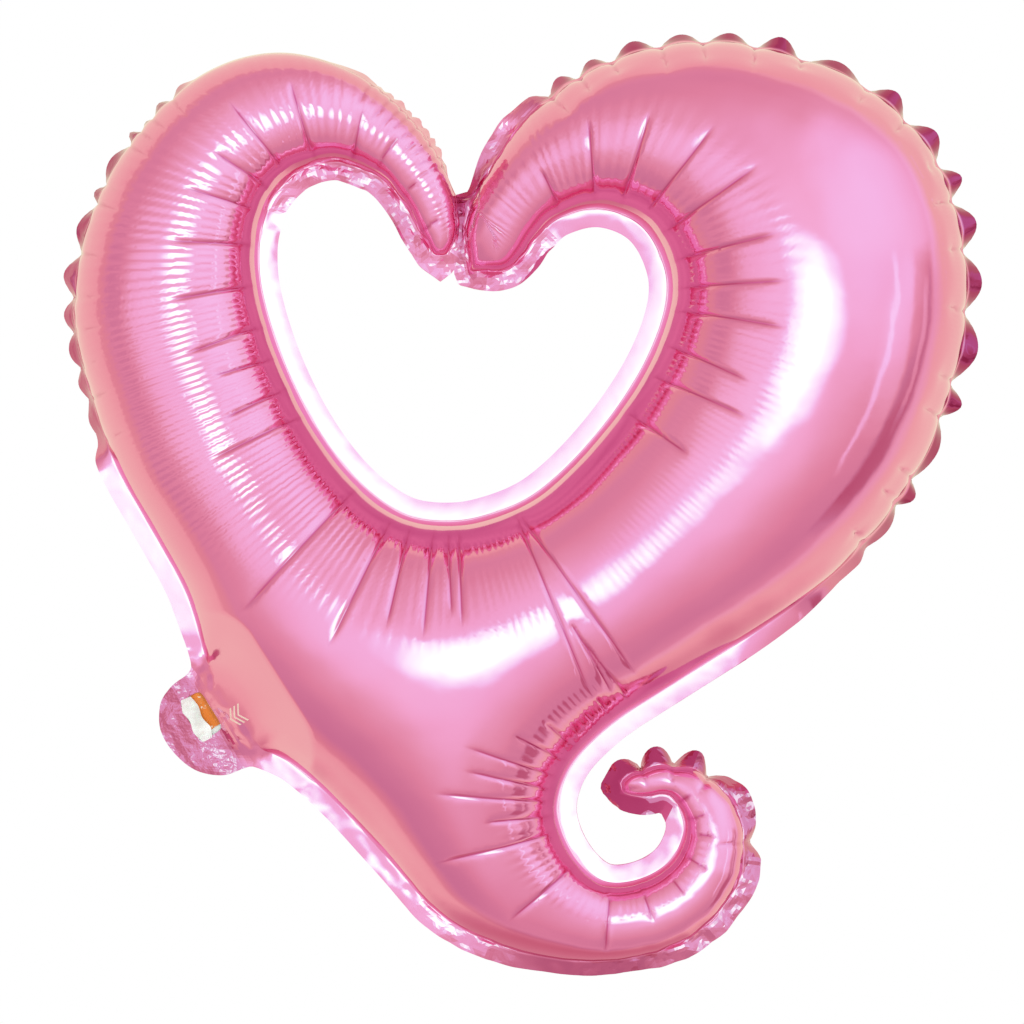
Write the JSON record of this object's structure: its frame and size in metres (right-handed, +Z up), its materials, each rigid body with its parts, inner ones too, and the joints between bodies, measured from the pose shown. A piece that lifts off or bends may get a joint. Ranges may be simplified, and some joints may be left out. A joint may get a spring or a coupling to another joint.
{
  "type": "heart foil balloon",
  "caption": "Inflated foil balloon in the outline of an open heart with a curled tail, with a folding neck tab and a flat self-sealing valve.",
  "frame": {"origin": "middle of the overall box, on the seam plane", "axes": "+Z up with the heart's lobes on top, front face toward -Y, +X to the viewer's right; the seam lies in the plane y = 0"},
  "size_m": [0.4227, 0.1316, 0.4349],
  "materials": {
    "front_foil": "mirror-bright metallised film, pink",
    "rear_foil": "mirror-bright metallised film, pink",
    "neck_front_foil": "crumpled metallised film, pink",
    "neck_rear_foil": "crumpled metallised film, pink",
    "valve_throat_front_film": "clear soft film",
    "valve_throat_rear_film": "clear soft film",
    "valve_lip_film": "crumpled clear soft film",
    "valve_ink": "printed orange ink",
    "valve_front_film": "clear soft film",
    "valve_rear_film": "clear soft film"
  },
  "bodies": {
    "envelope": {"front_panel": "front_foil", "rear_panel": "rear_foil"},
    "neck": {"neck_front_ply": "neck_front_foil", "neck_rear_ply": "neck_rear_foil", "valve_throat_front": "valve_throat_front_film", "valve_throat_rear": "valve_throat_rear_film", "valve_ink_patch": "valve_ink"},
    "lip": {"valve_mouth_lip": "valve_lip_film"},
    "valve_front": {"valve_front_ply": "valve_front_film"},
    "valve_rear": {"valve_rear_ply": "valve_rear_film"}
  },
  "joints": [
    {"name": "neck_fold", "type": "hinge", "parent": "envelope", "child": "neck", "pos_m": [-0.1325, 0, -0.095], "axis": [0.5225, 0, -0.8526], "range_deg": [-80, 80]},
    {"name": "lip_lift", "type": "hinge", "parent": "neck", "child": "lip", "pos_m": [-0.14768, -0.0006, -0.1043], "axis": [0.5225, 0, -0.8526], "range_deg": [0, 60]},
    {"name": "valve_front_open", "type": "hinge", "parent": "envelope", "child": "valve_front", "pos_m": [-0.12994, 0, -0.09343], "axis": [0.5225, 0, -0.8526], "range_deg": [0, 4]},
    {"name": "valve_rear_open", "type": "hinge", "parent": "envelope", "child": "valve_rear", "pos_m": [-0.12994, 0, -0.09343], "axis": [0.5225, 0, -0.8526], "range_deg": [-4, 0]}
  ],
  "couplings": [
    {"joint": "valve_rear_open", "follows": "valve_front_open", "ratio": -1}
  ]
}
